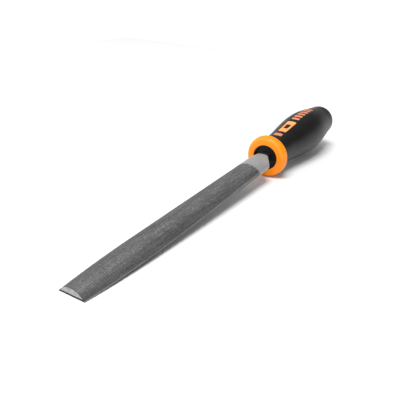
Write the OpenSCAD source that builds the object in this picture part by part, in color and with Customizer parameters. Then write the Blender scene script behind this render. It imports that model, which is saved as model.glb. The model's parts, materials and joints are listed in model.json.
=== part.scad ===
// Half-round wood rasp with a two-colour moulded handle, lying on a flat surface.
// Every piece is drawn in the tool's own frame: X runs from the tip towards the butt,
// the blade's flat face is the plane Z = 0 and the tool is symmetric about Y = 0.
// lying() then sets the tool down on its tip edge and its collar.

/* [Blade] */
// Length of the blade in front of the collar
blade_l = 200; // [180:5:220]
// Largest width of the blade
blade_w = 21.2; // [20.5:0.1:22]
// Thickness of the blade at the tip
tip_t = 4.7; // [4.2:0.1:5]
// Thickness of the blade where it is widest
blade_t = 6.35; // [6:0.05:6.6]
// Thickness of the blade at its shoulders
heel_t = 7; // [6.8:0.1:7.6]
// Distance from the tip to the widest place
belly_x = 54; // [40:1:70]
// Radius in plan of the long edges behind the widest place
edge_r = 7500; // [7000:100:9000]
// Distance from the start of the shoulders to the collar
shoulder_gap = 11; // [9.5:0.5:13]
// Length of the sloping shoulders, where the blade narrows to the tang
shoulder_l = 7; // [5:0.5:8]

/* [Tang] */
// Length of the tang behind the collar's front face
tang_l = 62; // [45:1:75]
// Width of the tang at the shoulders
tang_w = 8.4; // [7:0.1:9]
// Drop of the tang's top from the heel's thickness to the collar's front face
tang_drop = 0.8; // [0.5:0.1:1.5]
// Width of the tang at its end
tang_end_w = 3.4; // [3:0.1:5]
// Thickness of the tang at its end
tang_end_t = 2.6; // [2:0.1:4]

/* [Collar] */
// Outer radius of the collar
collar_r = 15.95; // [15.8:0.05:16.5]
// Length of the collar along the handle
collar_l = 7.4; // [7.2:0.1:9]
// Radius of the hole around the tang
collar_hole_r = 9.65; // [9.5:0.05:9.9]
// Radius of the wider bore that holds the core
collar_bore_r = 10.6; // [10.4:0.1:11]
// Length of the lip in front of that bore
collar_lip = 3.4; // [3:0.2:4.4]
// Length of the rounding on the collar's front edge
front_round_l = 5; // [4:0.1:5.2]
// Height of the rounding on the collar's front edge
front_round_h = 2.7; // [2:0.1:3.2]
// Length of the rounding on the collar's rear edge
rear_round_l = 2; // [1:0.1:2.2]
// Height of the rounding on the collar's rear edge
rear_round_h = 1.4; // [0.8:0.1:2]

/* [Handle] */
// Length of the handle, the collar included
handle_l = 118; // [112:1:124]
// Height of the handle's axis above the blade's flat face
axis_h = 2.6; // [2:0.1:3.2]
// Radius of the neck behind the collar
neck_r = 12.2; // [12:0.1:13.2]
// Radius of the swell
swell_r = 17.3; // [16.8:0.1:17.8]
// Radius at the butt, before its edge is rounded
butt_r = 12.8; // [12.4:0.1:13.5]
// Distance from the collar's front face to where the swell begins
neck_end = 12; // [10:1:18]
// Distance from the collar's front face to the middle of the swell
swell_u = 71.5; // [66:0.5:75]
// Radius of the rounding at the butt
butt_round = 8.4; // [7.5:0.1:9]
// Thickness of the soft grip over the core
grip_t = 2.6; // [2.4:0.1:2.8]

/* [Core] */
// Radius of the recess in front of the core
recess_r = 8.8; // [8.6:0.05:9]
// Distance from the collar's front face to the bottom of the recess
recess_u = 2; // [1.5:0.5:5]
// Distance of the core's front rim behind the collar's front face
rim_u = 0.5; // [0.3:0.1:1]
// Number of lengthwise ribs that stop the grip from turning on the core
rib_n = 4; // [3:1:6]
// Angle that a rib takes around the core
rib_a = 20; // [12:2:30]
// Height of a rib
rib_h = 1.4; // [1:0.1:1.6]
// Length of a rib
rib_l = 70; // [50:5:75]

/* [Inlays] */
// Distance from the collar to the bar
bar_gap = 12; // [9.6:0.2:13]
// Distance from the bar to the frame
frame_gap = 4.2; // [3:0.2:6]
// Distance from the frame to the first stripe
stripe_gap = 5; // [3:0.2:6]
// Depth of an inlay below the surface of the grip
inlay_d = 0.8; // [0.6:0.1:1.2]
// Height of an inlay above the surface of the grip
inlay_proud = 0.2; // [0.1:0.05:0.3]
// Length of the bar along the handle
bar_l = 4.6; // [3.6:0.2:5.6]
// Angle that the bar takes around the handle
bar_a = 32; // [26:2:40]
// Length of the frame along the handle
frame_l = 20; // [18:1:22]
// Angle that the frame takes around the handle
frame_a = 30; // [26:2:38]
// Length of the frame's window
window_l = 8; // [6:1:11]
// Angle that the frame's window takes around the handle
window_a = 14; // [10:1:18]
// Distance from one stripe to the next
stripe_pitch = 5.7; // [5:0.1:6]
// Length of a stripe along the handle
stripe_l = 3.4; // [2.6:0.1:3.8]
// Angle that a stripe takes around the handle
stripe_a = 24; // [20:2:34]

/* [Hidden] */

$fn = 96;

// The blade's convex side is part of a barrel about an axis below its flat face. The barrel's
// flanks reach barrel_a to each side of the top, which is past the flat face everywhere.
round_r = (blade_w * blade_w / 4 + blade_t * blade_t) / (2 * blade_t);
round_z = blade_t - round_r;
tip_round_r = tip_t - round_z;
heel_round_r = heel_t - round_z;
barrel_a = 68;
barrel_n = 26;
taper_n = 10;
edge_n = 16;
shoulder_x = blade_l - shoulder_gap;

// Lengths along the handle are counted from the collar's front face.
swell_n = 12;
butt_n = 9;
round_n = 8;
rib_u = 20;
bar_u = collar_l + bar_gap;
frame_u = bar_u + bar_l + frame_gap;
stripe_u = frame_u + frame_l + stripe_gap;
stripe_n = 6;

// The tool leans so that its tip edge and the collar's front rounding touch one plane.
touch_x = blade_l + front_round_l;
drop = collar_r - front_round_h - axis_h;
lean_tan = (touch_x * drop + sqrt(pow(touch_x * drop, 2)
    - (pow(touch_x, 2) - pow(front_round_l, 2)) * (drop * drop - pow(front_round_h, 2))))
    / (pow(touch_x, 2) - pow(front_round_l, 2));
lean = atan(lean_tan);
tip_reach = -tip_t * sin(lean);
butt_reach = (blade_l + handle_l) * cos(lean) + butt_r / 2 * sin(lean) - axis_h * sin(lean);
mid_x = (tip_reach + butt_reach) / 2;

// Half the blade's width at x, behind its widest place.
function edge_y(x) = blade_w / 2 - pow(x - belly_x, 2) / (2 * edge_r);

// Radius of the convex side at x, constant behind the start of the shoulders.
function blade_r(x) = x < belly_x
    ? round_r - (round_r - tip_round_r) * pow((belly_x - x) / belly_x, 2)
    : round_r + (heel_round_r - round_r) * (min(x, shoulder_x) - belly_x) / (shoulder_x - belly_x);

// Slow-fast-slow step from 0 to 1.
function ease(t) = (1 - cos(180 * max(0, min(1, t)))) / 2;

// Radius of the handle at u before the butt is rounded.
function swell(u) = u < swell_u
    ? neck_r + (swell_r - neck_r) * ease((u - neck_end) / (swell_u - neck_end))
    : swell_r + (butt_r - swell_r) * ease((u - swell_u) / (handle_l - swell_u));

// Drop of a rounding of radius r, at distance q into it.
function rounding(q, r) = r - sqrt(max(0, r * r - pow(max(0, q), 2)));

// Radius of the handle's surface at u, moved inwards by d.
function skin_r(u, d) = swell(min(u, handle_l)) - d
    - rounding(u - (handle_l - butt_round), butt_round - d);

// Places along the handle where its profile has a point, for a surface moved inwards by d.
function skin_stations(d) = concat(
    [collar_l],
    [for (i = [0:swell_n]) neck_end + (swell_u - neck_end) * i / swell_n],
    [for (i = [1:butt_n]) swell_u + (handle_l - butt_round - swell_u) * i / butt_n],
    [for (i = [1:round_n]) handle_l - butt_round + (butt_round - d) * sin(90 * i / round_n)]);

// Points of a quarter ellipse from its foot on a face to its crest: h high and a long.
function quarter(a, h, n) = [for (i = [0:n]) [h * sin(90 * i / n), a * (1 - cos(90 * i / n))]];

// Puts children drawn about +Z onto the handle's axis, with z counted from the collar's front.
module on_axis() {
    translate([blade_l, 0, axis_h])
        rotate([0, 90, 0])
            children();
}

// Sets the tool down on z = 0, with the middle of its length over the origin.
module lying() {
    translate([-mid_x, 0, 0])
        rotate([0, -lean, 0])
            children();
}

// Wedge about the handle's top, from u to u + l along it and a degrees wide, turned by turn.
module wedge(u, l, a, turn = 0) {
    on_axis()
        rotate([0, 0, 180 + turn - a / 2])
            rotate_extrude(angle = a)
                translate([0, u])
                    square([2 * swell_r, l]);
}

// Solid of the handle's shape behind the collar, its surface moved inwards by d.
module handle_solid(d) {
    stations = skin_stations(d);
    on_axis()
        rotate_extrude()
            polygon(concat(
                [[0, collar_l]],
                [for (u = stations) [skin_r(u, d), u]],
                [[0, stations[len(stations) - 1]]]));
}

// Plan of the blade: its long edges, then the shoulders that slope in to the tang.
module blade_plan() {
    edge = [for (i = [0:edge_n])
        let (x = belly_x + (shoulder_x - belly_x) * i / edge_n) [x, edge_y(x)]];
    side = concat([[0, blade_w / 2]], edge, [[shoulder_x + shoulder_l, tang_w / 2]]);
    polygon(concat(side, [for (i = [len(side) - 1:-1:0]) [side[i][0], -side[i][1]]]));
}

// Barrel that holds the blade's convex side, from the tip to the end of the shoulders.
module barrel() {
    xs = concat([for (i = [0:taper_n]) belly_x * i / taper_n],
                [shoulder_x, shoulder_x + shoulder_l]);
    ring = barrel_n + 1;
    last = len(xs) - 1;
    points = [for (x = xs, j = [0:barrel_n])
        let (a = barrel_a * (2 * j / barrel_n - 1))
        [x, blade_r(x) * sin(a), round_z + blade_r(x) * cos(a)]];
    sides = [for (i = [0:last - 1], j = [0:barrel_n])
        let (k = (j + 1) % ring)
        [i * ring + k, (i + 1) * ring + k, (i + 1) * ring + j, i * ring + j]];
    tip = [for (j = [barrel_n:-1:0]) j];
    heel = [for (j = [0:barrel_n]) last * ring + j];
    polyhedron(points = points, faces = concat([tip], sides, [heel]));
}

// Forged body of the blade: the barrel cut by the flat face and by the plan's edges.
module blade_body() {
    intersection() {
        barrel();
        linear_extrude(height = 2 * heel_t)
            blade_plan();
    }
}

// Tang that tapers in plan and in height, from inside the shoulders to its end in the core.
module tang() {
    root_x = shoulder_x + shoulder_l / 2;
    end_x = blade_l + tang_l;
    end_z = axis_h - tang_end_t / 2;
    intersection() {
        linear_extrude(height = 2 * heel_t)
            polygon([[root_x, -tang_w / 2], [end_x, -tang_end_w / 2],
                     [end_x, tang_end_w / 2], [root_x, tang_w / 2]]);
        translate([0, tang_w, 0])
            rotate([90, 0, 0])
                linear_extrude(height = 2 * tang_w)
                    polygon([[root_x, 0], [blade_l, 0], [end_x, end_z],
                             [end_x, end_z + tang_end_t],
                             [blade_l, heel_t - tang_drop], [root_x, heel_t - tang_drop / 2]]);
    }
}

// Blade and tang, one steel forging.
module blade() {
    color([0.45, 0.46, 0.47])
        union() {
            blade_body();
            tang();
        }
}

// Ribs along the core, no higher than rib_h above its surface.
module ribs() {
    intersection() {
        handle_solid(grip_t - rib_h);
        for (i = [0:rib_n - 1])
            wedge(rib_u, rib_l, rib_a, 360 / rib_n * (i + 0.5));
    }
}

// Core without its socket: body under the grip, ribs and stepped spigot through the collar.
module core_solid() {
    union() {
        handle_solid(grip_t);
        ribs();
        on_axis()
            rotate_extrude()
                polygon([[0, rim_u], [collar_hole_r, rim_u], [collar_hole_r, collar_lip],
                         [collar_bore_r, collar_lip], [collar_bore_r, collar_l], [0, collar_l]]);
    }
}

// Hard black core that holds the tang, with an open recess around it in front.
module handle_core() {
    color([0.06, 0.06, 0.06])
        difference() {
            core_solid();
            on_axis()
                translate([0, 0, rim_u - 1])
                    cylinder(h = recess_u - rim_u + 1, r = recess_r);
            tang();
        }
}

// Orange collar in front of the grip.
module collar() {
    front = [for (p = quarter(front_round_l, front_round_h, round_n))
        [collar_r - front_round_h + p[0], p[1]]];
    rear = [for (i = [round_n:-1:0])
        let (p = quarter(rear_round_l, rear_round_h, round_n)[i])
        [collar_r - rear_round_h + p[0], collar_l - p[1]]];
    color([1, 0.55, 0.05])
        on_axis()
            rotate_extrude()
                polygon(concat(
                    [[collar_hole_r, 0]], front, rear,
                    [[collar_bore_r, collar_l], [collar_bore_r, collar_lip],
                     [collar_hole_r, collar_lip]]));
}

// Wedge that cuts inlay number i out of the skin: 0 is the bar, 1 the frame, the rest stripes.
module inlay_wedge(i) {
    if (i == 0) {
        wedge(bar_u, bar_l, bar_a);
    } else if (i == 1) {
        difference() {
            wedge(frame_u, frame_l, frame_a);
            wedge(frame_u + (frame_l - window_l) / 2, window_l, window_a);
        }
    } else {
        wedge(stripe_u + (i - 2) * stripe_pitch, stripe_l, stripe_a);
    }
}

// One inlay, which follows the grip's surface.
module inlay(i) {
    color([1, 0.62, 0.3])
        difference() {
            intersection() {
                inlay_wedge(i);
                handle_solid(-inlay_proud);
            }
            handle_solid(inlay_d);
        }
}

// Soft black grip moulded over the core, with a pocket for each inlay.
module grip() {
    color([0.13, 0.13, 0.13])
        difference() {
            handle_solid(0);
            core_solid();
            difference() {
                for (i = [0:stripe_n + 1])
                    inlay_wedge(i);
                handle_solid(inlay_d);
            }
        }
}

lying() blade();
lying() handle_core();
lying() collar();
lying() grip();
lying() inlay(0);  // inlay_bar
lying() inlay(1);  // inlay_frame
lying() inlay(2);  // inlay_stripe_1
lying() inlay(3);  // inlay_stripe_2
lying() inlay(4);  // inlay_stripe_3
lying() inlay(5);  // inlay_stripe_4
lying() inlay(6);  // inlay_stripe_5
lying() inlay(7);  // inlay_stripe_6
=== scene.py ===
"""Looks of a half-round wood rasp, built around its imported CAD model.

Shapes are made in the tool's own frame, in millimetres: X from the tip to the butt, the blade's
flat face at Z = 0, +Y to the left. ToolFrame turns them into the frame that the CAD model lies in.
Sizes are measured on the CAD nodes with rays, so every piece keeps to its node's box, but for a
hundredth of a millimetre or so at the collar, whose CAD mesh is coarser.
"""

import json
import math
import random

import bpy
from mathutils import Matrix, Vector
from mathutils.bvhtree import BVHTree


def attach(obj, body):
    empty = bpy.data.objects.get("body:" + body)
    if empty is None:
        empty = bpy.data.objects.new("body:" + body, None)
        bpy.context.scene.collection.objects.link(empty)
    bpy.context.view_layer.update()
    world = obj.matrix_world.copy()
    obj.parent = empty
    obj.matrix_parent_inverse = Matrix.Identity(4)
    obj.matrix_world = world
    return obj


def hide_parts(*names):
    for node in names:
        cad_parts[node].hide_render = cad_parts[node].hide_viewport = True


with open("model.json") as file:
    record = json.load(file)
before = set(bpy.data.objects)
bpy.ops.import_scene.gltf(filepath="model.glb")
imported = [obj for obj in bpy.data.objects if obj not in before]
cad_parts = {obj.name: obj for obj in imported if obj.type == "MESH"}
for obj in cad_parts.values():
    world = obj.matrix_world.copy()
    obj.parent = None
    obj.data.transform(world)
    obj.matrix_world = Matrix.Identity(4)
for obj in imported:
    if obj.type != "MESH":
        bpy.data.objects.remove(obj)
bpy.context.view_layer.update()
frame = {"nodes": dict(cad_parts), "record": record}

MM = 0.001
FAR = 500.0     # mm: where a probing ray starts
HAIR = 0.02     # mm: keeps rays off the edges of CAD faces
STRIPES = [f"inlay_stripe_{i}" for i in range(1, 7)]


# ---------------------------------------------------------------- the tool's frame


class ToolFrame:
    """The tool's own frame, found from the blade: its flat face is Z = 0 and its tip X = 0."""

    def __init__(self):
        mounts = {m["name"]: m for m in frame["record"]["mounts"]}
        lean = math.asin(mounts["blade_flat"]["axis"][0])
        upright = Matrix.Rotation(lean, 4, "Y")
        corners = [upright @ v.co for v in frame["nodes"]["blade"].data.vertices]
        tip = Vector((min(c.x for c in corners), 0, min(c.z for c in corners)))
        self.to_row = upright.inverted() @ Matrix.Translation(tip)
        self.from_row = self.to_row.inverted()


class Probe:
    """A CAD node's surface in the tool's frame, measured in millimetres with rays."""

    def __init__(self, node):
        mesh = frame["nodes"][node].data
        points = [(tool.from_row @ v.co) / MM for v in mesh.vertices]
        self.tree = BVHTree.FromPolygons(points, [tuple(p.vertices) for p in mesh.polygons])
        self.low = Vector([min(p[i] for p in points) for i in range(3)])
        self.high = Vector([max(p[i] for p in points) for i in range(3)])
        self.points = points

    def top(self, x, y):
        """Height of the surface seen from above."""
        return self.tree.ray_cast(Vector((x, y, FAR)), Vector((0, 0, -1)))[0].z

    def bottom(self, x, y):
        """Height of the surface seen from below."""
        return self.tree.ray_cast(Vector((x, y, -FAR)), Vector((0, 0, 1)))[0].z

    def side(self, x, z):
        """Y of the surface seen from the left."""
        return self.tree.ray_cast(Vector((x, FAR, z)), Vector((0, -1, 0)))[0].y


tool = ToolFrame()
steel = Probe("blade")
ring = Probe("collar")
rubber = Probe("grip")
AXIS_Z = (ring.low.z + ring.high.z) / 2    # the handle's axis above the blade's flat face
COLLAR_X = ring.low.x                      # the collar's front face
GRIP_X = rubber.low.x                      # where the grip starts
BUTT_X = rubber.high.x                     # where it ends


def add_piece(name, node, points, faces, materials, crease, zones=None):
    """A new piece from points in the tool's frame. It stands for one CAD node.

    Edges that turn by more than crease degrees stay sharp. Zones give each face's material.
    """
    mesh = bpy.data.meshes.new(name)
    mesh.from_pydata([tool.to_row @ (Vector(p) * MM) for p in points], [], faces)
    for material in materials:
        mesh.materials.append(material)
    if zones:
        mesh.polygons.foreach_set("material_index", zones)
    if volume(mesh) < 0:
        mesh.flip_normals()
    mesh.shade_smooth()
    mesh.set_sharp_from_angle(angle=math.radians(crease))
    piece = bpy.data.objects.new(name, mesh)
    bpy.context.scene.collection.objects.link(piece)
    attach(piece, "root")
    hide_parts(node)
    return piece


def volume(mesh):
    """Signed volume inside a closed mesh: negative when its faces look inwards."""
    total = 0.0
    for face in mesh.polygons:
        corners = [mesh.vertices[v].co for v in face.vertices]
        for a, b in zip(corners[1:], corners[2:]):
            total += corners[0].dot(a.cross(b)) / 6
    return total


def bridge(rings, closed_ends=True, loop=False):
    """Quads between neighbouring rings of equal length, then a face over each end ring.

    A loop joins the last ring to the first instead.
    """
    n = len(rings[0])
    count = len(rings)
    faces = []
    for i in range(count if loop else count - 1):
        a, b = i * n, (i + 1) % count * n
        for j in range(n):
            k = (j + 1) % n
            faces.append((a + j, a + k, b + k, b + j))
    if closed_ends and not loop:
        faces.append(tuple(range(n - 1, -1, -1)))
        faces.append(tuple(range((count - 1) * n, count * n)))
    return faces


def quarter(step):
    """Angles from 0 to a quarter turn, step degrees apart."""
    return [math.radians(a) for a in range(0, 91, step)]


# ---------------------------------------------------------------- blade

CUT_L = 173.6        # mm: length of the toothed part, from the tip
STEP = 0.26          # mm: between stations along the teeth
TEETH = ((0.0, 1.0, 0.6), (0.0, 1.0, 0.7, 0.35), (0.1, 0.9, 0.65))   # heights station by station
TOOTH_SIZE = (0.75, 1.0)         # least and greatest height of a tooth
ACROSS = (0.62, 1.0, 0.85)       # height across one tooth, column by column
SKEW = (0, 0, 1)     # stations that each column is ahead by, so that the teeth lie askew
ROUND_ROWS = 25      # rows of teeth over the convex side
FLAT_ROWS = 17       # rows of teeth over the flat side
ROUND_SEED, FLAT_SEED = 11, 12
TOOTH_D = 0.3        # mm: depth of the cuts
ROW_END = (-0.5, 0.3)            # mm: how unevenly the rows end
FADE_L = 1.4         # mm: over which the last teeth fade out
END_IN = 0.04        # mm: from the end face's foot to the first station
TIP_BEVEL = 0.3      # mm: height of the broken edge under the end face
TIP_STRIP = 1.35     # mm: height of the strip along the foot of the end face, painted dark as shade
TIP_N = 2            # first stations, which have painted shade below and no teeth there
EDGE_H = 0.2         # mm: least height of the side flats
EDGE_ROUND = 0.22    # mm: rounding of the side flats' edges
EDGE_SHARE = 0.3     # or this share of the flat's height where that is less
MIDWAY = 0.3         # radii from a corner's planes to the middle of its rounding
LEAST_SAG = 0.01     # mm: keeps a flat top's radius finite
SIDE_SHADE = 0.55     # how dark the side flats and the underside are painted, as painted shade away from the light, where 1 is as dark as a gullet
STRIP_SHADE = 1.3     # and the strip along the foot of the end face, as painted shade where it meets the floor
HEEL_GAP = 0.4       # mm: from the last tooth to the first plain station
SHOULDER_GAP = 11.0  # mm: from where the shoulders start to the collar
SHOULDER_L = 7.0     # mm: length of the sloping shoulders
SHANK_N, SHOULDER_N, TANG_N = 8, 6, 8    # stations on the plain steel
TANG_CROWD = 1.5     # above 1, the tang's stations crowd towards the shoulders
BLADE_CREASE = 38    # degrees: edges that turn by more stay sharp
CUT, PLAIN, END = 0, 1, 2        # the blade's zones, in the order of its materials


class Teeth:
    """Rows of separate teeth that lie askew. Each row is cut on its own, so none are in step."""

    def __init__(self, rows, seed):
        rng = random.Random(seed)
        self.rows = rows
        self.end = [CUT_L + rng.uniform(*ROW_END) for _ in range(rows)]
        self.heights = [self.row_of_teeth(rng) for _ in range(rows)]

    def row_of_teeth(self, rng):
        """Heights along one row, station by station. Teeth differ in length and height."""
        heights = []
        least = CUT_L / STEP + max(SKEW) + 2
        while len(heights) < least:
            size = rng.uniform(*TOOTH_SIZE)
            heights += [h * size for h in rng.choice(TEETH)]
        return heights

    def depth(self, station, x, column):
        """Depth of the cut below the CAD surface, from 0 at the highest tooth to TOOTH_D."""
        row, place = divmod(column, len(ACROSS))
        if row >= self.rows:
            row, place = self.rows - 1, 0
        height = self.heights[row][station + SKEW[place]] * ACROSS[place]
        fade = min(1.0, max(0.0, (self.end[row] - x) / FADE_L))
        return TOOTH_D * (1 - height) * fade


class Section:
    """The blade's outline across its length at one place, measured on the CAD blade."""

    def __init__(self, x, lift=0.0):
        near = min(max(x, HAIR), steel.high.x - HAIR)
        self.x = x
        self.low = steel.bottom(near, HAIR) + lift
        self.crown = steel.top(near, HAIR)
        self.half = steel.side(near, self.low + EDGE_H)
        corner = steel.top(near, self.half - 2 * HAIR)
        self.corner = min(self.crown, max(corner, self.low + EDGE_H))
        sag = max(self.crown - self.corner, LEAST_SAG)
        self.radius = (self.half ** 2 + sag ** 2) / (2 * sag)
        self.spread = math.asin(min(1.0, self.half / self.radius))

    def ring(self, round_cut, flat_cut, side_shade=0.0, top_shade=0.0):
        """Points round the section: under it, up its right side, over it and down its left.

        A point's fourth number is the depth of its cut, which also darkens the steel there as
        painted shade.
        The shades are the least that this number is on the sides and the underside, and on top:
        painted shade there too.
        """
        soft = min(EDGE_ROUND, EDGE_SHARE * (self.corner - self.low))
        flat_n = FLAT_ROWS * len(ACROSS)
        round_n = ROUND_ROWS * len(ACROSS)
        reach = self.half - soft
        under = []
        for j in range(flat_n + 1):
            cut = flat_cut(j) if 0 < j < flat_n else 0.0
            under.append((reach * (1 - 2 * j / flat_n), self.low + cut, max(cut, side_shade)))
        right = [(-self.half + MIDWAY * soft, self.low + MIDWAY * soft, side_shade),
                 (-self.half, self.low + soft, side_shade),
                 (-self.half, self.corner - soft, side_shade)]
        spread = self.spread - soft / self.radius
        over = []
        for j in range(round_n + 1):
            cut = round_cut(j) if 0 < j < round_n else 0.0
            turn = spread * (2 * j / round_n - 1)
            r = self.radius - cut
            z = self.crown - self.radius + r * math.cos(turn)
            over.append((r * math.sin(turn), z, max(cut, top_shade)))
        left = [(-y, z, cut) for y, z, cut in reversed(right)]
        return [(self.x, y, z, cut) for y, z, cut in under + right + over + left]


def no_cut(column):
    """Depth of the cuts where the blade is smooth."""
    return 0.0


def blade():
    """Blade and tang as one skin, with every tooth cut into the CAD blade's surface."""
    cut_n = int(CUT_L / STEP) + 1
    # the end face's foot ring, with painted shade on the strip below it
    rings = [Section(0.0, TIP_STRIP).ring(no_cut, no_cut, STRIP_SHADE * TOOTH_D)]
    rings += toothed_rings(cut_n) + plain_rings()
    faces = bridge(rings)
    n = len(rings[0])
    zones = [CUT if f < cut_n * n else PLAIN for f in range(len(faces))]
    zones[-2] = END
    points = [p for ring_points in rings for p in ring_points]
    piece = add_piece("rasp_blade", "blade", [p[:3] for p in points], faces,
                      [cut_steel(), plain_steel(), end_steel()], BLADE_CREASE, zones)
    # the steel's painted shade: in the gullets, on the side flats and underside, on the strip at
    # the end face's foot and on the shoulders' sides; it also paints the tang nearly black
    painted_shade = piece.data.attributes.new("painted_shade", "FLOAT", "POINT")
    painted_shade.data.foreach_set("value", [p[3] / TOOTH_D for p in points])


def toothed_rings(count):
    """Sections from the tip to the last tooth."""
    round_teeth = Teeth(ROUND_ROWS, ROUND_SEED)
    flat_teeth = Teeth(FLAT_ROWS, FLAT_SEED)
    rings = []
    for i in range(count):
        x = max(i * STEP, END_IN)
        section = Section(x, TIP_BEVEL if i == 0 else 0.0)
        flat_cut = no_cut if i < TIP_N else (lambda j: flat_teeth.depth(i, x, j))
        # painted shade on the sides and underside, darkest on the strip at the tip
        least_shade = TOOTH_D * (STRIP_SHADE if i < TIP_N else SIDE_SHADE)
        rings.append(section.ring(lambda j: round_teeth.depth(i, x, j), flat_cut, least_shade))
    return rings


def plain_rings():
    """Sections of the shank, of the shoulders with painted shade on their sides and underside, and
    of the tang, painted nearly black.
    """
    shank_x = CUT_L + HEEL_GAP
    heel_x = COLLAR_X - SHOULDER_GAP
    tang_x = heel_x + SHOULDER_L + HAIR
    places = [shank_x + (heel_x - shank_x) * k / SHANK_N for k in range(SHANK_N)]
    places += [heel_x + (SHOULDER_L - HAIR) * k / SHOULDER_N for k in range(SHOULDER_N + 1)]
    places += [tang_x + (steel.high.x - tang_x) * (k / TANG_N) ** TANG_CROWD
               for k in range(TANG_N + 1)]
    rings = []
    for x in places:
        # painted shade on the shoulders' sides and underside; the tang is painted nearly black all
        # round
        side = TOOTH_D if x > heel_x else 0.0
        top = TOOTH_D if x >= tang_x else 0.0
        rings.append(Section(x).ring(no_cut, no_cut, side, top))
    return rings


# ---------------------------------------------------------------- turned pieces


def turned(x, r, angle):
    """Point at an angle from the handle's top, about its axis."""
    return (x, r * math.sin(angle), AXIS_Z + r * math.cos(angle))


def lathe(profile, angles):
    """Rings of points: each (x, radius) pair turned about the handle's axis."""
    return [[turned(x, r, a) for a in angles] for x, r in profile]


FRONT_L, REAR_L = 5.0, 2.0   # mm: lengths of the collar's front and rear roundings
FRONT_STEP, REAR_STEP, EDGE_STEP = 6, 10, 15   # degrees between the points of its roundings
HOLE_SOFT = 0.5       # mm: rounding of the hole's edge
HOLE_IN = 1.0         # mm: how far inside the ends the hole and the bore are measured
LIP_STEP = 0.1        # mm: between the probes that look for the lip's end
LIP_RISE = 0.2        # mm: past the lip the bore is at least this much larger than the hole
FACE_N = 3            # steps from the hole's edge to the front rounding
COLLAR_N = 144        # points round the collar
COLLAR_CREASE = 30    # degrees


def collar():
    """Collar with a rounded hole edge; its outside follows the CAD collar."""
    length = ring.high.x - ring.low.x
    hole = hole_radius(COLLAR_X + HOLE_IN)
    bore = hole_radius(ring.high.x - HOLE_IN)
    probes = [LIP_STEP * k for k in range(round(HOLE_IN / LIP_STEP), int(length / LIP_STEP))]
    lip = next(u for u in probes if hole_radius(COLLAR_X + u) > hole + LIP_RISE)
    front = [FRONT_L * (1 - math.cos(t)) for t in quarter(FRONT_STEP)]
    rear = [length - REAR_L * (1 - math.sin(t)) for t in quarter(REAR_STEP)]
    outside = [(COLLAR_X + u, ring.side(COLLAR_X + min(max(u, HAIR), length - HAIR), AXIS_Z))
               for u in front + rear]
    edge = [(COLLAR_X + HOLE_SOFT * (1 - math.sin(t)), hole + HOLE_SOFT * (1 - math.cos(t)))
            for t in quarter(EDGE_STEP)]
    edge_r, front_r = edge[-1][1], outside[0][1]
    face = [(COLLAR_X, edge_r + (front_r - edge_r) * k / FACE_N) for k in range(1, FACE_N)]
    inside = [(COLLAR_X + length, bore), (COLLAR_X + lip, bore), (COLLAR_X + lip, hole)]
    angles = [2 * math.pi * k / COLLAR_N for k in range(COLLAR_N)]
    rings = lathe(edge + face + outside + inside, angles)
    add_piece("rasp_collar", "collar", [p for r in rings for p in r], bridge(rings, loop=True),
              [collar_plastic()], COLLAR_CREASE)


def hole_radius(x):
    """Radius of the collar's hole at x, measured from its axis outwards."""
    return ring.tree.ray_cast(Vector((x, 0, AXIS_Z)), Vector((0, 1, 0)))[0].y


# ---------------------------------------------------------------- inlays and grip

INLAY_GAP = 0.16      # mm: between an inlay's side and its pocket in the CAD grip
INLAY_CORNER = 0.9    # mm: radius of an inlay's corners
LEAST_CORNER = 0.05   # mm: least radius of a corner that is moved in
INLAY_SOFT = 0.22     # mm: rounding of an inlay's upper edge
INLAY_PROUD = 0.18    # mm: height over the grip
CORNER_N, ALONG_N, ROUND_N = 6, 5, 12        # steps of an outline: a corner, along, round
TOP_RINGS, BASE_RINGS = (0.8, 0.55, 0.3), (0.3, 0.65)    # sizes of the loops inside an outline
FRAME_RINGS = (0.25, 0.5, 0.75)              # places of loops between the rim and the window
WINDOW_L = 8.0        # mm: length of the frame's window
WINDOW_A = 7.0        # degrees: half the angle that the window takes
WINDOW_CORNER = 0.7   # mm: radius of its corners
POCKET_D = 0.8        # mm: depth of the pockets
EDGE_BAND = 0.05      # mm: half the width of a pocket's steep edge
EDGE_D = 0.3          # mm: depth halfway down that edge
LIP = 0.42            # mm: width of the rubber's soft lip round an inlay
LIP_D = 0.16          # mm: how far the lip dips towards the inlay
EDGE_LINES = (-0.1, 0.0, 0.1, 0.22, LIP)     # mm: mesh lines across a pocket's edge
GRIP_WALL = 1.1       # mm: leaves the core's ribs clear
GRIP_SOFT = 0.7       # mm: rounding of the grip's front edge
PITCH, PITCH_A = 0.6, 1.2    # mm along and degrees round: the mesh beside the inlays
GAP, GAP_A = 0.3, 0.1        # mm along and round: between the two lines at each edge line
PAST_INLAYS = 2.0     # mm: the fine mesh goes on this far
MARGIN_A = 0.05       # radians: and this far round
NEAR = 0.45           # gaps: even lines this close to an added one are left out
BELLY_N, UNDER_N = 18, 34    # steps of the coarse mesh along and round
BUTT_ROUND = 8.4      # mm: rounding of the butt
BUTT_STEP, FRONT_EDGE_STEP = 6, 18           # degrees between the points of the roundings
BUTT_RINGS = (0.9, 0.6, 0.3)                 # sizes of the loops on the butt's end
INSIDE_STEP = 4       # the inside uses one station in this many
INSIDE_END_L, INSIDE_END_R = 2.0, 3.0        # mm: how the inside closes before the butt
MOULD_CREASE = 40     # degrees


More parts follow.
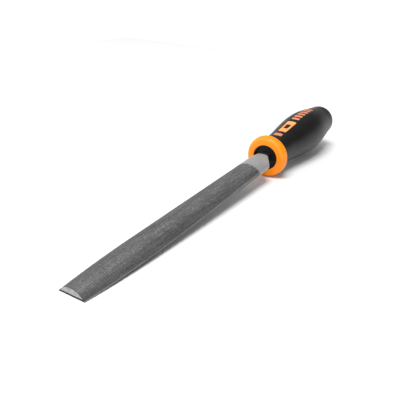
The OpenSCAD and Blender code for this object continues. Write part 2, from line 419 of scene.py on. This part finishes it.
class Patch:
    """A rounded rectangle on the grip: a stretch of the handle and an angle each way."""

    def __init__(self, x0, x1, half_angle, corner):
        self.x0, self.x1, self.half_angle, self.corner = x0, x1, half_angle, corner
        self.r = rubber.side((x0 + x1) / 2, AXIS_Z)

    def distance(self, x, angle):
        """Signed distance in millimetres from the patch's outline: negative inside."""
        dx = abs(x - (self.x0 + self.x1) / 2) - (self.x1 - self.x0) / 2 + self.corner
        dy = (abs(angle) - self.half_angle) * self.r + self.corner
        outside = math.hypot(max(dx, 0), max(dy, 0))
        return outside + min(max(dx, dy), 0) - self.corner

    def outline(self, inset):
        """Points (x, angle) round the patch, moved in by inset: each corner, then a side."""
        c = max(self.corner - inset, LEAST_CORNER)
        hx = (self.x1 - self.x0) / 2 - inset - c
        hy = self.half_angle * self.r - inset - c
        corners = ((1, 1), (-1, 1), (-1, -1), (1, -1))
        points = []
        for q, (sx, sy) in enumerate(corners):
            for k in range(CORNER_N + 1):
                t = math.pi / 2 * (q + k / CORNER_N)
                points.append((sx * hx + c * math.cos(t), sy * hy + c * math.sin(t)))
            x, y = points[-1]
            next_x, next_y = corners[(q + 1) % 4]
            runs_along = q % 2 == 0
            end_x, end_y = (next_x * hx, y) if runs_along else (x, next_y * hy)
            steps = ALONG_N if runs_along else ROUND_N
            for k in range(1, steps):
                w = k / steps
                points.append((x + (end_x - x) * w, y + (end_y - y) * w))
        centre = (self.x0 + self.x1) / 2
        return [(centre + x, y / self.r) for x, y in points]


def node_patch(node):
    """The patch that a CAD inlay takes up."""
    probe = Probe(node)
    half = max(math.atan2(p.y, p.z - AXIS_Z) for p in probe.points)
    return Patch(probe.low.x, probe.high.x, half, INLAY_CORNER)


def skin(x, angle, height):
    """Point above the grip's surface."""
    r = rubber.side(min(max(x, GRIP_X + HAIR), BUTT_X - HAIR), AXIS_Z)
    return turned(x, r + height, angle)


def edge_steps():
    """(inset, height) pairs up an inlay's side and over its rounded upper edge."""
    over = [(INLAY_GAP + INLAY_SOFT * (1 - math.cos(t)),
             INLAY_PROUD - INLAY_SOFT * (1 - math.sin(t))) for t in quarter(30)]
    return [(INLAY_GAP, HAIR - POCKET_D)] + over


def solid_inlay(name, node, patch, material):
    """One inlay without a window: loops from the base's middle over the side to the top's."""
    centre = (patch.x0 + patch.x1) / 2
    steps = edge_steps()
    (base_inset, base), (top_inset, top) = steps[0], steps[-1]

    def inside(inset, height, sizes):
        return [[skin(centre + (x - centre) * size, a * size, height)
                 for x, a in patch.outline(inset)] for size in sizes]

    sides = [[skin(x, a, h) for x, a in patch.outline(inset)] for inset, h in steps]
    loops = inside(base_inset, base, BASE_RINGS) + sides + inside(top_inset, top, TOP_RINGS)
    faces = bridge(loops, closed_ends=False)
    points = [p for loop in loops for p in loop]
    n = len(loops[0])
    last = len(points) - n
    points += [skin(centre, 0.0, base), skin(centre, 0.0, top)]
    for j in range(n):
        k = (j + 1) % n
        faces += [(k, j, last + n), (last + j, last + k, last + n + 1)]
    add_piece(name, node, points, faces, [material], MOULD_CREASE)


def framed_inlay(name, node, patch, window, material):
    """One inlay with a window in it."""
    steps = edge_steps()
    outer = [[skin(x, a, h) for x, a in patch.outline(inset)] for inset, h in steps]
    inner = [[skin(x, a, h) for x, a in window.outline(-inset)] for inset, h in steps]

    def between(inset, height):
        rim, hole = patch.outline(inset), window.outline(-inset)
        return [[skin(x0 + (x1 - x0) * w, a0 + (a1 - a0) * w, height)
                 for (x0, a0), (x1, a1) in zip(rim, hole)] for w in FRAME_RINGS]

    loops = outer + between(*steps[-1]) + inner[::-1] + between(*steps[0])[::-1]
    add_piece(name, node, [p for loop in loops for p in loop], bridge(loops, loop=True),
              [material], MOULD_CREASE)


def pocket(distance):
    """Depth of the rubber at a distance from an inlay: a soft lip, then the pocket."""
    if distance >= LIP:
        return 0.0
    if distance > EDGE_BAND:
        share = (distance - EDGE_BAND) / (LIP - EDGE_BAND)
        return LIP_D * (1 - math.sin(math.pi / 2 * share))
    return POCKET_D if distance < -EDGE_BAND else EDGE_D


def pocket_depth(patches, window, x, angle):
    """Depth of the rubber at one place. The window stands as high as the grip."""
    depth = 0.0
    for patch in patches:
        distance = patch.distance(x, angle)
        if patch is patches[1]:
            distance = max(distance, -window.distance(x, angle))
        depth = max(depth, pocket(distance))
    return depth


def grid_lines(start, end, pitch, places, gap):
    """Even lines from start to end, with two more at each place, a gap apart.

    Even lines that would lie close beside the added ones are left out.
    """
    extra = [p + o for p in places for o in (0.0, gap) if start < p + o < end]
    count = max(1, round((end - start) / pitch))
    even = [start + (end - start) * k / count for k in range(count + 1)]
    even = [v for v in even if all(abs(v - e) > NEAR * gap for e in extra)]
    return sorted(even + extra)


def grip_stations(patches, window, fine_end):
    """Places along the grip, with lines across every edge of a pocket."""
    edges = [(p.x0, -1) for p in patches] + [(p.x1, 1) for p in patches]
    edges += [(window.x0, 1), (window.x1, -1)]
    lines = sorted(e + side * o for e, side in edges for o in EDGE_LINES)
    fine = grid_lines(GRIP_X + GRIP_SOFT, fine_end, PITCH, lines, GAP)
    butt = BUTT_X - BUTT_ROUND
    stations = sorted(set(round(x, 3) for x in fine))
    stations += [fine_end + (butt - fine_end) * k / BELLY_N for k in range(1, BELLY_N + 1)]
    return stations + [butt + BUTT_ROUND * math.sin(t) for t in quarter(BUTT_STEP)[1:-1]]


def grip_angles(patches, window, fine_end):
    """Angles round the grip, from under it over its left side to its top and back."""
    per_mm = 1 / rubber.side((GRIP_X + fine_end) / 2, AXIS_Z)
    half = [p.half_angle for p in patches[:3]]
    lines = [h + o * per_mm for h in half for o in EDGE_LINES]
    lines += [window.half_angle - o * per_mm for o in EDGE_LINES]
    wide = max(half) + MARGIN_A
    fine = grid_lines(0.0, wide, math.radians(PITCH_A), sorted(lines), GAP_A * per_mm)
    coarse = [wide + (math.pi - wide) * k / UNDER_N for k in range(1, UNDER_N + 1)]
    return sorted(set([-a for a in fine + coarse[:-1]] + fine + coarse))


def grip(patches, window):
    """Soft grip: turned skin with pockets for the inlays and a thin wall."""
    fine_end = patches[-1].x1 + PAST_INLAYS
    stations = grip_stations(patches, window, fine_end)
    angles = grip_angles(patches, window, fine_end)
    rings = lathe(grip_inside(stations) + grip_front(), angles)
    for x in stations:
        r = rubber.side(min(x, BUTT_X - HAIR), AXIS_Z)
        rings.append([turned(x, r - pocket_depth(patches, window, x, a), a) for a in angles])
    end_r = rubber.side(BUTT_X - HAIR, AXIS_Z)
    rings += lathe([(BUTT_X, end_r * size) for size in BUTT_RINGS], angles)
    add_piece("rasp_grip", "grip", [p for r in rings for p in r], bridge(rings),
              [grip_rubber()], MOULD_CREASE)


def grip_front():
    """The grip's front face and its rounded edge against the collar."""
    r = rubber.side(GRIP_X + HAIR, AXIS_Z)
    edge = [(GRIP_X + GRIP_SOFT * (1 - math.cos(t)), r - GRIP_SOFT * (1 - math.sin(t)))
            for t in quarter(FRONT_EDGE_STEP)[:-1]]
    return [(GRIP_X, r - GRIP_WALL)] + edge


def grip_inside(stations):
    """Inside of the grip's skin, from the butt back to its front."""
    end = BUTT_X - GRIP_WALL
    places = [x for x in reversed(stations[::INSIDE_STEP]) if x < end - INSIDE_END_L]
    return [(end, INSIDE_END_R)] + [(x, rubber.side(x, AXIS_Z) - GRIP_WALL) for x in places]


def handle():
    """Grip, inlays and collar, and the CAD core with its own material."""
    bar, frame_patch = node_patch("inlay_bar"), node_patch("inlay_frame")
    stripes = [node_patch(s) for s in STRIPES]
    middle = (frame_patch.x0 + frame_patch.x1) / 2
    window = Patch(middle - WINDOW_L / 2, middle + WINDOW_L / 2, math.radians(WINDOW_A),
                   WINDOW_CORNER)
    worn = inlay_plastic("inlay_worn", (0.72, 0.27, 0.14), (0.6, 0.21, 0.10))
    fresh = inlay_plastic("inlay_plastic", (1.0, 0.40, 0.12), (0.92, 0.34, 0.09))
    solid_inlay("rasp_inlay_bar", "inlay_bar", bar, worn)
    framed_inlay("rasp_inlay_frame", "inlay_frame", frame_patch, window, fresh)
    for node, patch in zip(STRIPES, stripes):
        solid_inlay("rasp_" + node, node, patch, worn)
    grip([bar, frame_patch] + stripes, window)
    collar()
    core = frame["nodes"]["handle_core"].data
    core.materials.clear()
    core.materials.append(core_plastic())


# ---------------------------------------------------------------- materials


class Material:
    """A procedural material around one Principled shader."""

    def __init__(self, name, **settings):
        self.material = bpy.data.materials.new(name)
        self.material.use_nodes = True
        self.tree = self.material.node_tree
        self.shader = self.tree.nodes["Principled BSDF"]
        for socket, value in settings.items():
            self.shader.inputs[socket.replace("_", " ")].default_value = value
        self.place = self.node("ShaderNodeTexCoord").outputs["Object"]

    def node(self, kind, inputs=None, **properties):
        """A new node with its properties set and its inputs set or linked."""
        made = self.tree.nodes.new(kind)
        for key, value in properties.items():
            setattr(made, key, value)
        for key, value in (inputs or {}).items():
            if isinstance(value, bpy.types.NodeSocket):
                self.tree.links.new(value, made.inputs[key])
            else:
                made.inputs[key].default_value = value
        return made

    def noise(self, size, detail=4.0, stretch=(1, 1, 1), rough=0.55):
        """Noise whose features are about size millimetres, longer where stretch is above 1."""
        scale = [1 / s for s in stretch]
        mapping = self.node("ShaderNodeMapping", {"Vector": self.place, "Scale": scale})
        made = self.node("ShaderNodeTexNoise", {
            "Vector": mapping.outputs["Vector"], "Scale": 1 / (size * MM), "Detail": detail,
            "Roughness": rough})
        return made.outputs["Fac"]

    def grains(self, size):
        """Rounded grains of about size millimetres: 0 at a grain's middle."""
        made = self.node("ShaderNodeTexVoronoi", {"Vector": self.place, "Scale": 1 / (size * MM)})
        return made.outputs["Distance"]

    def ramp(self, value, stops):
        """Colours by value. A stop's colour may be one number, for a grey."""
        made = self.node("ShaderNodeValToRGB", {"Fac": value})
        elements = made.color_ramp.elements
        while len(elements) < len(stops):
            elements.new(0.5)
        for element, (at, colour) in zip(elements, stops):
            element.position = at
            element.color = (*colour, 1) if isinstance(colour, tuple) else (*(colour,) * 3, 1)
        return made.outputs["Color"]

    def mix(self, factor, a, b, blend="MIX"):
        """Colour b over colour a."""
        made = self.node("ShaderNodeMix", data_type="RGBA", blend_type=blend)
        for socket, value in ((made.inputs[0], factor), (made.inputs[6], a), (made.inputs[7], b)):
            if isinstance(value, bpy.types.NodeSocket):
                self.tree.links.new(value, socket)
            elif isinstance(value, tuple):
                socket.default_value = (*value, 1)
            else:
                socket.default_value = value
        return made.outputs[2]

    def bump(self, height, depth):
        """Surface relief of depth millimetres."""
        made = self.node("ShaderNodeBump", {"Height": height, "Distance": depth * MM,
                                            "Strength": 1.0})
        self.tree.links.new(made.outputs["Normal"], self.shader.inputs["Normal"])

    def set(self, socket, value):
        """Links a value to one of the shader's sockets."""
        self.tree.links.new(value, self.shader.inputs[socket])


def grey(v):
    """Very slightly bluish grey of steel."""
    return (v, v, v * 1.02)


def cut_steel():
    """Hardened steel of the teeth, with painted shade in the gullets and a painted highlight on the
    points.
    """
    m = Material("cut_steel", Metallic=0.85)
    painted_shade = m.node("ShaderNodeAttribute", attribute_name="painted_shade").outputs["Fac"]
    # painted shade in the gullets and a painted highlight on the tooth points, set by the depth of
    # each cut
    tooth = m.ramp(painted_shade, [(0.0, grey(0.5)), (0.22, grey(0.36)), (0.6, grey(0.2)),
                            (0.9, grey(0.11)), (1.0, grey(0.04))])
    streaks = m.ramp(m.noise(1.4, 3.0, (40, 1, 1)), [(0.3, 0.66), (0.7, 1.0)])
    specks = m.ramp(m.noise(0.5, 2.0), [(0.35, 0.86), (0.65, 1.0)])
    m.set("Base Color", m.mix(1.0, m.mix(1.0, tooth, streaks, "MULTIPLY"), specks, "MULTIPLY"))
    m.set("Roughness", m.ramp(painted_shade, [(0.0, 0.56), (0.6, 0.6)]))
    return m.material


def plain_steel():
    """Ground steel of the shank, with faint lengthwise lines; painted shade on the shoulders' sides
    and the tang painted nearly black.
    """
    m = Material("plain_steel", Metallic=0.45)
    scale = m.node("ShaderNodeAttribute", attribute_name="painted_shade").outputs["Fac"]
    lines = m.noise(0.25, 4.0, (60, 1, 1))
    stain = m.ramp(m.noise(9.0, 5.0, (2, 1, 1)),
                   [(0.35, (0.3, 0.325, 0.335)), (0.7, (0.39, 0.425, 0.435))])
    ground = m.mix(0.3, stain, m.ramp(lines, [(0.3, grey(0.26)), (0.7, grey(0.5))]))
    # the shoulders' sides and underside get painted shade, and the tang is painted nearly black
    m.set("Base Color", m.mix(scale, ground, grey(0.02)))
    m.set("Roughness", m.ramp(lines, [(0.3, 0.48), (0.7, 0.6)]))
    m.bump(lines, 0.01)
    return m.material


def end_steel():
    """Sawn end face of the blade, pale and a little mottled."""
    m = Material("end_steel", Metallic=0.75)
    mottle = m.noise(0.9, 4.0, (1, 1.5, 1))
    m.set("Base Color", m.ramp(mottle, [(0.35, grey(0.28)), (0.65, grey(0.46))]))
    m.set("Roughness", m.ramp(mottle, [(0.3, 0.42), (0.7, 0.6)]))
    m.bump(mottle, 0.03)
    return m.material


def core_plastic():
    """Hard black plastic with a fine moulded grain."""
    m = Material("core_plastic", Specular_IOR_Level=0.25)
    grain = m.noise(0.3, 3.0)
    m.set("Base Color", m.ramp(m.noise(6.0), [(0.3, 0.004), (0.7, 0.007)]))
    m.set("Roughness", m.ramp(grain, [(0.3, 0.5), (0.7, 0.66)]))
    m.bump(grain, 0.01)
    return m.material


def collar_plastic():
    """Smooth satin orange plastic, with slight flow marks and scuffs."""
    m = Material("collar_plastic", Specular_IOR_Level=0.42)
    flow = m.noise(12.0, 3.0)
    scuff = m.noise(0.7, 5.0)
    m.set("Base Color", m.ramp(flow, [(0.35, (0.97, 0.245, 0.0)), (0.65, (0.99, 0.275, 0.0003))]))
    m.set("Roughness", m.ramp(scuff, [(0.35, 0.42), (0.7, 0.54)]))
    m.bump(scuff, 0.006)
    return m.material


def grip_rubber():
    """Matt black soft-touch rubber with a fine grain and faint dust."""
    m = Material("grip_rubber", Specular_IOR_Level=0.23)
    grain = m.grains(0.35)
    cloud = m.noise(14.0, 4.0)
    m.set("Base Color", m.ramp(cloud, [(0.3, 0.005), (0.7, 0.009)]))
    m.set("Roughness", m.ramp(m.noise(2.0), [(0.3, 0.34), (0.7, 0.44)]))
    m.bump(grain, 0.02)
    return m.material


def inlay_plastic(name, pale, dull):
    """Matt pale orange plastic, a little uneven in tone."""
    m = Material(name)
    fine = m.noise(0.4, 3.0)
    m.set("Base Color", m.ramp(m.noise(5.0), [(0.3, dull), (0.7, pale)]))
    m.set("Roughness", m.ramp(fine, [(0.3, 0.48), (0.7, 0.62)]))
    m.bump(fine, 0.008)
    return m.material


def floor_material():
    """Plain white paper."""
    m = Material("floor_paper", Roughness=0.9, Specular_IOR_Level=0.1)
    m.set("Base Color", m.ramp(m.noise(40.0), [(0.0, 0.9), (1.0, 0.91)]))
    return m.material


# ---------------------------------------------------------------- camera and studio

CAMERA_AT = (-127.733, -154.915, 147.162)  # mm, in the tool's frame
CAMERA_AZ, CAMERA_EL, CAMERA_ROLL = 0.57751, -0.466085, -0.0020    # radians
FOCAL, SENSOR = 45.663, 36      # mm
CLIP = (0.01, 20)               # m
SKY_FROM = (-0.6, 0.6, 0.3)     # the sky is bright on this side and dark on the other
SKY_RANGE = (-0.8, 0.9)         # cosines of the angle from that side: all dark, all bright
SKY_DARK, SKY_BRIGHT = 0.04, 0.95
GLOW, GLOW_H = 0.9, 0.28        # brightness and height of the glow along the horizon
FLOOR_HALF = 0.7                # m: past its edge the camera sees the sky, which is as white
KEY_AT, KEY_SIZE, KEY_POWER = (-0.9, -0.16, 2.25), 1.2, 53.0    # m, m, W


def camera():
    """Camera where the photo was taken from, with the photo's field of view."""
    cam = bpy.data.cameras.new("camera")
    cam.lens = FOCAL
    cam.sensor_width = SENSOR
    cam.clip_start, cam.clip_end = CLIP
    ob = bpy.data.objects.new("camera", cam)
    bpy.context.scene.collection.objects.link(ob)
    ahead = Vector((math.cos(CAMERA_EL) * math.cos(CAMERA_AZ),
                    math.cos(CAMERA_EL) * math.sin(CAMERA_AZ), math.sin(CAMERA_EL)))
    right = ahead.cross(Vector((0, 0, 1))).normalized()
    up = right.cross(ahead)
    turned_to = Matrix((right, up, -ahead)).transposed() @ Matrix.Rotation(-CAMERA_ROLL, 3, "Z")
    place = Matrix.Translation(Vector(CAMERA_AT) * MM) @ turned_to.to_4x4()
    ob.matrix_world = tool.to_row @ place
    bpy.context.scene.camera = ob


def soft_light(name, at, size, power):
    """Square light that faces the origin."""
    light = bpy.data.lights.new(name, "AREA")
    light.size = size
    light.energy = power
    ob = bpy.data.objects.new(name, light)
    bpy.context.scene.collection.objects.link(ob)
    ob.location = at
    ob.rotation_mode = "QUATERNION"
    ob.rotation_quaternion = (-ob.location).to_track_quat("-Z", "Y")


def sky(tree):
    """Grey sky, brightest on one side, with a glow along the horizon."""
    place = tree.nodes.new("ShaderNodeTexCoord").outputs["Generated"]
    along = tree.nodes.new("ShaderNodeVectorMath")
    along.operation = "DOT_PRODUCT"
    along.inputs[1].default_value = Vector(SKY_FROM).normalized()
    level = tree.nodes.new("ShaderNodeMapRange")
    level.inputs["From Min"].default_value = SKY_RANGE[0]
    level.inputs["From Max"].default_value = SKY_RANGE[1]
    level.inputs["To Min"].default_value = SKY_DARK
    level.inputs["To Max"].default_value = SKY_BRIGHT
    tree.links.new(place, along.inputs[0])
    tree.links.new(along.outputs["Value"], level.inputs["Value"])
    parts = tree.nodes.new("ShaderNodeSeparateXYZ")
    tree.links.new(place, parts.inputs["Vector"])
    glow = tree.nodes.new("ShaderNodeMapRange")
    glow.interpolation_type = "SMOOTHSTEP"
    glow.inputs["From Max"].default_value = GLOW_H
    glow.inputs["To Min"].default_value = GLOW
    glow.inputs["To Max"].default_value = 0.0
    tree.links.new(parts.outputs["Z"], glow.inputs["Value"])
    total = tree.nodes.new("ShaderNodeMath")
    tree.links.new(level.outputs["Result"], total.inputs[0])
    tree.links.new(glow.outputs["Result"], total.inputs[1])
    tree.links.new(total.outputs["Value"], tree.nodes["Background"].inputs["Strength"])
    tree.nodes["Background"].inputs["Color"].default_value = (1, 1, 1, 1)


def studio():
    """White floor, a sky with a bright side, and a key light high above the tip's side."""
    scene = bpy.context.scene
    scene.view_settings.view_transform = "Standard"
    world = bpy.data.worlds.new("studio")
    scene.world = world
    world.use_nodes = True
    sky(world.node_tree)
    mesh = bpy.data.meshes.new("floor")
    corners = [(x * FLOOR_HALF, y * FLOOR_HALF, 0) for x, y in ((-1, -1), (1, -1), (1, 1), (-1, 1))]
    mesh.from_pydata(corners, [], [(0, 1, 2, 3)])
    floor = bpy.data.objects.new("floor", mesh)
    scene.collection.objects.link(floor)
    floor.data.materials.append(floor_material())
    soft_light("key", KEY_AT, KEY_SIZE, KEY_POWER)


camera()
studio()
blade()
handle()
